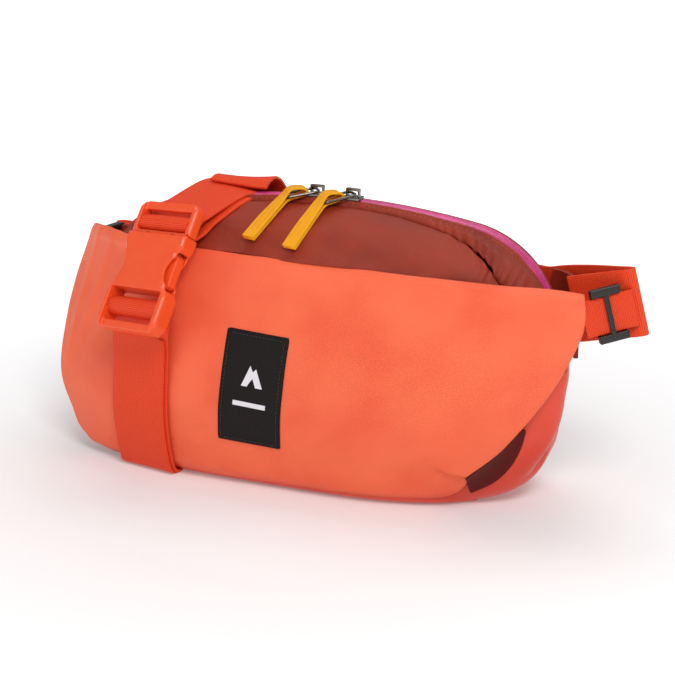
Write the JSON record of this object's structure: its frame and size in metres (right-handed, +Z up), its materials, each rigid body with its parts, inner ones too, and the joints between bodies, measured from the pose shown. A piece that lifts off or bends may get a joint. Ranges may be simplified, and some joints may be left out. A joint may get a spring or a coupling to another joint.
{
  "type": "hip pack",
  "caption": "Stuffed hip pack standing on its base, with an arched top zip, a wrapping front panel and its waist belt buckled round it.",
  "frame": {"origin": "centre of the flat base, under the middle of the zip", "axes": "+X to the right as seen from the front, +Y back towards the wearer, +Z up"},
  "size_m": [0.3511, 0.1261, 0.1654],
  "materials": {
    "wing_fabric": "satin coated ripstop, coral",
    "upper_fabric": "matt plain weave, rust red",
    "gusset_fabric": "matt plain weave, dark rust",
    "coated_fabric": "glossy coated weave, coral",
    "lining_fabric": "matt thin weave, grey",
    "back_fabric": "matt air mesh, dark rust",
    "foam": "closed-cell foam",
    "zip_tape": "coated zip tape, magenta",
    "zip_coil": "moulded coil, magenta",
    "slider_metal": "polished black nickel",
    "tab_webbing": "folded webbing, amber yellow",
    "label_rubber": "matt woven patch, black",
    "buckle_plastic": "satin moulded nylon, orange red",
    "belt_webbing": "flat woven belt, orange red",
    "narrow_webbing": "flat woven strap, orange red",
    "triglide_plastic": "satin moulded plastic, black"
  },
  "bodies": {
    "pack": {"front_wing_panel": "wing_fabric", "wing_gusset_left": "gusset_fabric", "wing_gusset_right": "gusset_fabric", "front_upper_panel": "upper_fabric", "zip_facing": "upper_fabric", "front_inner_wall": "lining_fabric", "rear_gusset": "upper_fabric", "front_side_panel": "coated_fabric", "base_and_side_panel": "coated_fabric", "back_panel": "back_fabric", "back_pad": "foam", "inner_pocket": "lining_fabric", "back_wing_left": "upper_fabric", "back_wing_right": "upper_fabric", "zip_tape_front": "zip_tape", "zip_tape_rear": "zip_tape", "zip_coil_front": "zip_coil", "zip_coil_rear": "zip_coil", "zip_end_stops": "zip_coil", "label": "label_rubber", "buckle_socket": "buckle_plastic", "socket_webbing": "belt_webbing", "upper_strap_front": "belt_webbing", "upper_strap_back": "belt_webbing", "lower_strap_front": "belt_webbing", "lower_strap_under": "belt_webbing", "belt_loop_left": "belt_webbing", "belt_loop_right": "belt_webbing", "stabiliser_strap_left": "narrow_webbing", "stabiliser_strap_right": "narrow_webbing"},
    "plug": {"buckle_plug": "buckle_plastic", "plug_webbing": "belt_webbing"},
    "prong_left": {"release_prong_left": "buckle_plastic"},
    "prong_right": {"release_prong_right": "buckle_plastic"},
    "slider_left": {"slider_body_left": "slider_metal"},
    "slider_right": {"slider_body_right": "slider_metal"},
    "ring_left": {"pull_ring_left": "slider_metal"},
    "ring_right": {"pull_ring_right": "slider_metal"},
    "tab_left": {"pull_tab_left": "tab_webbing"},
    "tab_right": {"pull_tab_right": "tab_webbing"},
    "triglide_left": {"triglide_left": "triglide_plastic"},
    "triglide_right": {"triglide_right": "triglide_plastic"}
  },
  "joints": [
    {"name": "buckle_release", "type": "slide", "parent": "pack", "child": "plug", "axis": [0.1, 0.5702, 0.8154], "range_m": [0, 0.032]},
    {"name": "prong_left_squeeze", "type": "hinge", "parent": "plug", "child": "prong_left", "pos_m": [-0.08752, -0.0275, 0.13649], "axis": [-0.2601, -0.776, 0.5746], "range_deg": [0, 8], "stiffness_Nm_per_rad": 0.6},
    {"name": "prong_right_squeeze", "type": "hinge", "parent": "plug", "child": "prong_right", "pos_m": [-0.06927, -0.03263, 0.13783], "axis": [-0.2601, -0.776, 0.5746], "range_deg": [-8, 0], "stiffness_Nm_per_rad": 0.6},
    {"name": "zip_slider_left", "type": "hinge", "parent": "pack", "child": "slider_left", "pos_m": [0, 0.018, -0.322], "axis": [0, 1, 0], "range_deg": [-0.6, 0.3]},
    {"name": "zip_slider_right", "type": "hinge", "parent": "pack", "child": "slider_right", "pos_m": [0, 0.018, -0.322], "axis": [0, 1, 0], "range_deg": [0, 8.4]},
    {"name": "pull_ring_left_lift", "type": "hinge", "parent": "slider_left", "child": "ring_left", "pos_m": [-0.00355, 0.018, 0.16239], "axis": [-0.5725, 0.8199, 0], "range_deg": [0, 60]},
    {"name": "pull_tab_left_lift", "type": "hinge", "parent": "ring_left", "child": "tab_left", "pos_m": [-0.0183, 0.0077, 0.1599], "axis": [-0.5725, 0.8199, 0], "range_deg": [0, 55]},
    {"name": "pull_ring_right_lift", "type": "hinge", "parent": "slider_right", "child": "ring_right", "pos_m": [0.01817, 0.018, 0.16206], "axis": [-0.7131, 0.701, 0], "range_deg": [0, 60]},
    {"name": "pull_tab_right_lift", "type": "hinge", "parent": "ring_right", "child": "tab_right", "pos_m": [0.005, 0.0046, 0.1594], "axis": [-0.7131, 0.701, 0], "range_deg": [0, 55]},
    {"name": "triglide_left_slide", "type": "slide", "parent": "pack", "child": "triglide_left", "axis": [0.1629, 0.9866, 0], "range_m": [-0.003, 0.001]},
    {"name": "triglide_right_slide", "type": "slide", "parent": "pack", "child": "triglide_right", "axis": [0.8489, 0.4771, 0.2275], "range_m": [-0.002, 0.004]}
  ],
  "couplings": [
    {"joint": "prong_right_squeeze", "follows": "prong_left_squeeze", "ratio": -1}
  ]
}
